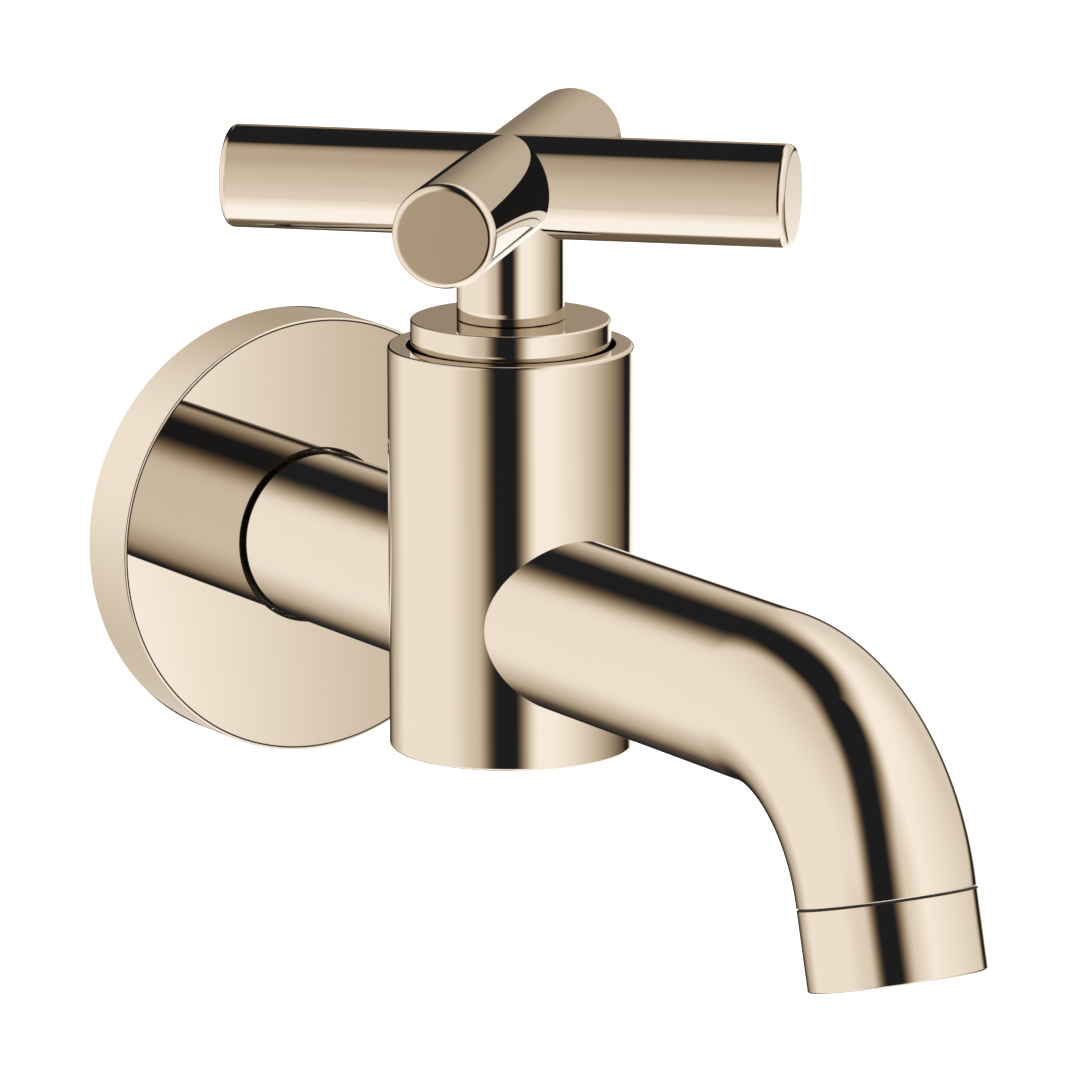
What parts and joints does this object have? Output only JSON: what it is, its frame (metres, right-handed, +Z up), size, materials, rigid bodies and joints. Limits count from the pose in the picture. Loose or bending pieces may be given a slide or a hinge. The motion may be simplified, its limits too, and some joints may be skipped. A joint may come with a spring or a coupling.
{
  "type": "wall-mounted basin tap",
  "caption": "Single-supply wall-mounted basin tap: round rosette and inlet pipe, upright round body, cross handle on a ceramic headwork, bent round spout with aerator.",
  "frame": {"origin": "where the axis of the inlet thread meets the face of the finished wall", "axes": "+Y along the inlet thread into the wall, the spout points along -Y, +Z up along the handle's axis"},
  "size_m": [0.058, 0.1628, 0.0891],
  "materials": {
    "champagne_metal": "mirror-polished, champagne coloured",
    "bare_brass": "machined",
    "stainless_steel": "plain",
    "black_rubber": "matt",
    "grey_foam": "closed-cell foam",
    "white_ceramic": "lapped",
    "pale_plastic": "moulded"
  },
  "bodies": {
    "tap": {"valve_body": "champagne_metal", "inlet_pipe": "champagne_metal", "wall_nipple": "bare_brass", "nipple_o_ring": "black_rubber", "inlet_strainer": "stainless_steel", "collar": "champagne_metal", "collar_o_ring": "black_rubber", "headwork_housing": "bare_brass", "seat_seal": "black_rubber", "housing_o_ring": "black_rubber", "fixed_ceramic_disc": "white_ceramic", "glide_washer": "pale_plastic", "spout_tube": "champagne_metal", "aerator_ring": "champagne_metal", "aerator_seal": "black_rubber", "aerator_insert": "pale_plastic", "aerator_screen": "stainless_steel", "aerator_honeycomb": "pale_plastic"},
    "handle": {"handle_cross": "champagne_metal", "handle_stem": "champagne_metal", "handle_insert": "bare_brass", "handle_grub_screw": "stainless_steel", "spindle": "bare_brass", "spindle_o_rings": "black_rubber", "spindle_circlip": "stainless_steel", "turning_ceramic_disc": "white_ceramic"},
    "rosette": {"wall_rosette": "champagne_metal", "rosette_o_ring": "black_rubber", "rosette_gasket": "grey_foam"}
  },
  "joints": [
    {"name": "handle_turn", "type": "hinge", "parent": "tap", "child": "handle", "pos_m": [0, -0.0558, 0.0519], "axis": [0, 0, 1], "range_deg": [0, 90]},
    {"name": "rosette_slide", "type": "slide", "parent": "tap", "child": "rosette", "axis": [0, -1, 0], "range_m": [0, 0.03]}
  ]
}
